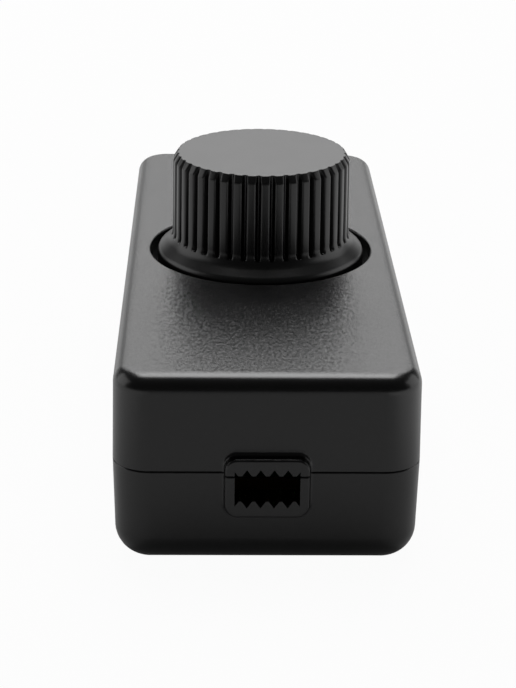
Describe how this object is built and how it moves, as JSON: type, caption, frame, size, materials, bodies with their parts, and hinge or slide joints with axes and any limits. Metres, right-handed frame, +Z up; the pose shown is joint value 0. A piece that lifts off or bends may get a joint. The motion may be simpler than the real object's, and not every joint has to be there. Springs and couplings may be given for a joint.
{
  "type": "rotary cord dimmer",
  "caption": "Inline lamp-cord dimmer: black two-shell plastic housing with serrated cable collars at both ends and a fluted, skirted knob that turns in a round well.",
  "frame": {"origin": "middle of the underside, on the surface the dimmer lies on", "axes": "+Z up along the knob's axis, +Y along the housing away from the end the picture shows, +X to the right"},
  "size_m": [0.0362, 0.0948, 0.0376],
  "materials": {
    "housing_plastic": "fine satin texture",
    "knob_plastic": "satin",
    "zinc_steel": "zinc plated",
    "nickel_plate": "nickel plated",
    "tinned_wire": "tinned",
    "board_laminate": "bare laminate",
    "track_laminate": "bare laminate",
    "shaft_nylon": "as moulded",
    "contact_brass": "stamped",
    "switch_plastic": "as moulded",
    "terminal_plastic": "as moulded",
    "triac_epoxy": "as moulded",
    "sink_aluminium": "mill finish",
    "choke_ferrite": "sintered",
    "enamelled_wire": "enamelled copper",
    "film_box": "as moulded",
    "timing_box": "as moulded",
    "diac_body": "lacquered glass",
    "resistor_lacquer": "lacquered",
    "fuse_case": "as moulded"
  },
  "bodies": {
    "housing": {"upper_cover": "housing_plastic", "lower_base": "housing_plastic", "housing_screws": "zinc_steel", "terminal_screws": "zinc_steel", "heatsink_screw": "zinc_steel", "potentiometer_plate": "nickel_plate", "bushing_washer": "nickel_plate", "bushing_nut": "nickel_plate", "potentiometer_can": "nickel_plate", "potentiometer_terminals": "tinned_wire", "circuit_board": "board_laminate", "potentiometer_wafer": "track_laminate", "terminal_cages": "contact_brass", "switch_block": "switch_plastic", "inlet_terminal_block": "terminal_plastic", "outlet_terminal_block": "terminal_plastic", "triac": "triac_epoxy", "triac_heatsink": "sink_aluminium", "choke_core": "choke_ferrite", "choke_winding": "enamelled_wire", "suppression_capacitor": "film_box", "timing_capacitor": "timing_box", "diac": "diac_body", "resistors": "resistor_lacquer", "fuse": "fuse_case"},
    "knob": {"control_knob": "knob_plastic", "potentiometer_shaft": "shaft_nylon", "potentiometer_rotor": "shaft_nylon", "wiper_contact": "contact_brass"}
  },
  "joints": [
    {"name": "knob_turn", "type": "hinge", "parent": "housing", "child": "knob", "pos_m": [0, 0, 0.0242], "axis": [0, 0, -1], "range_deg": [0, 300]}
  ]
}
